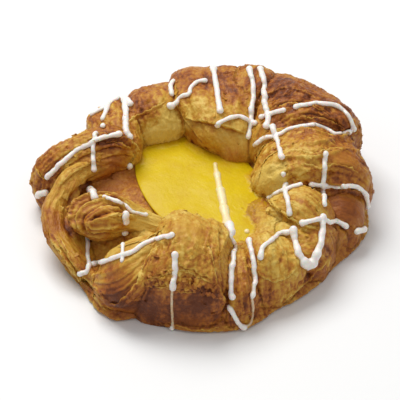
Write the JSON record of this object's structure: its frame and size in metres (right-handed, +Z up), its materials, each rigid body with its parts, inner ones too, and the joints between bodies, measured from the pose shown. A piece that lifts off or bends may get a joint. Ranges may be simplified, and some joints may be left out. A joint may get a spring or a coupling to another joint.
{
  "type": "custard danish pastry",
  "caption": "Round danish pastry: a ring of plump twisted laminated dough round a pool of custard, with thin icing drizzled over it.",
  "frame": {"origin": "the middle of the flat underside, where the pastry stands on a surface", "axes": "+Z up through the pastry's height, its shortest extent; the view from -Y shows the curled end of the dough at the left and the front lobe nearest"},
  "size_m": [0.1156, 0.1111, 0.0355],
  "materials": {
    "crust": "baked, egg-washed, satin",
    "custard": "smooth, moist, glossy"
  },
  "bodies": {
    "root": {"pastry": "crust", "custard": "custard"}
  },
  "joints": []
}
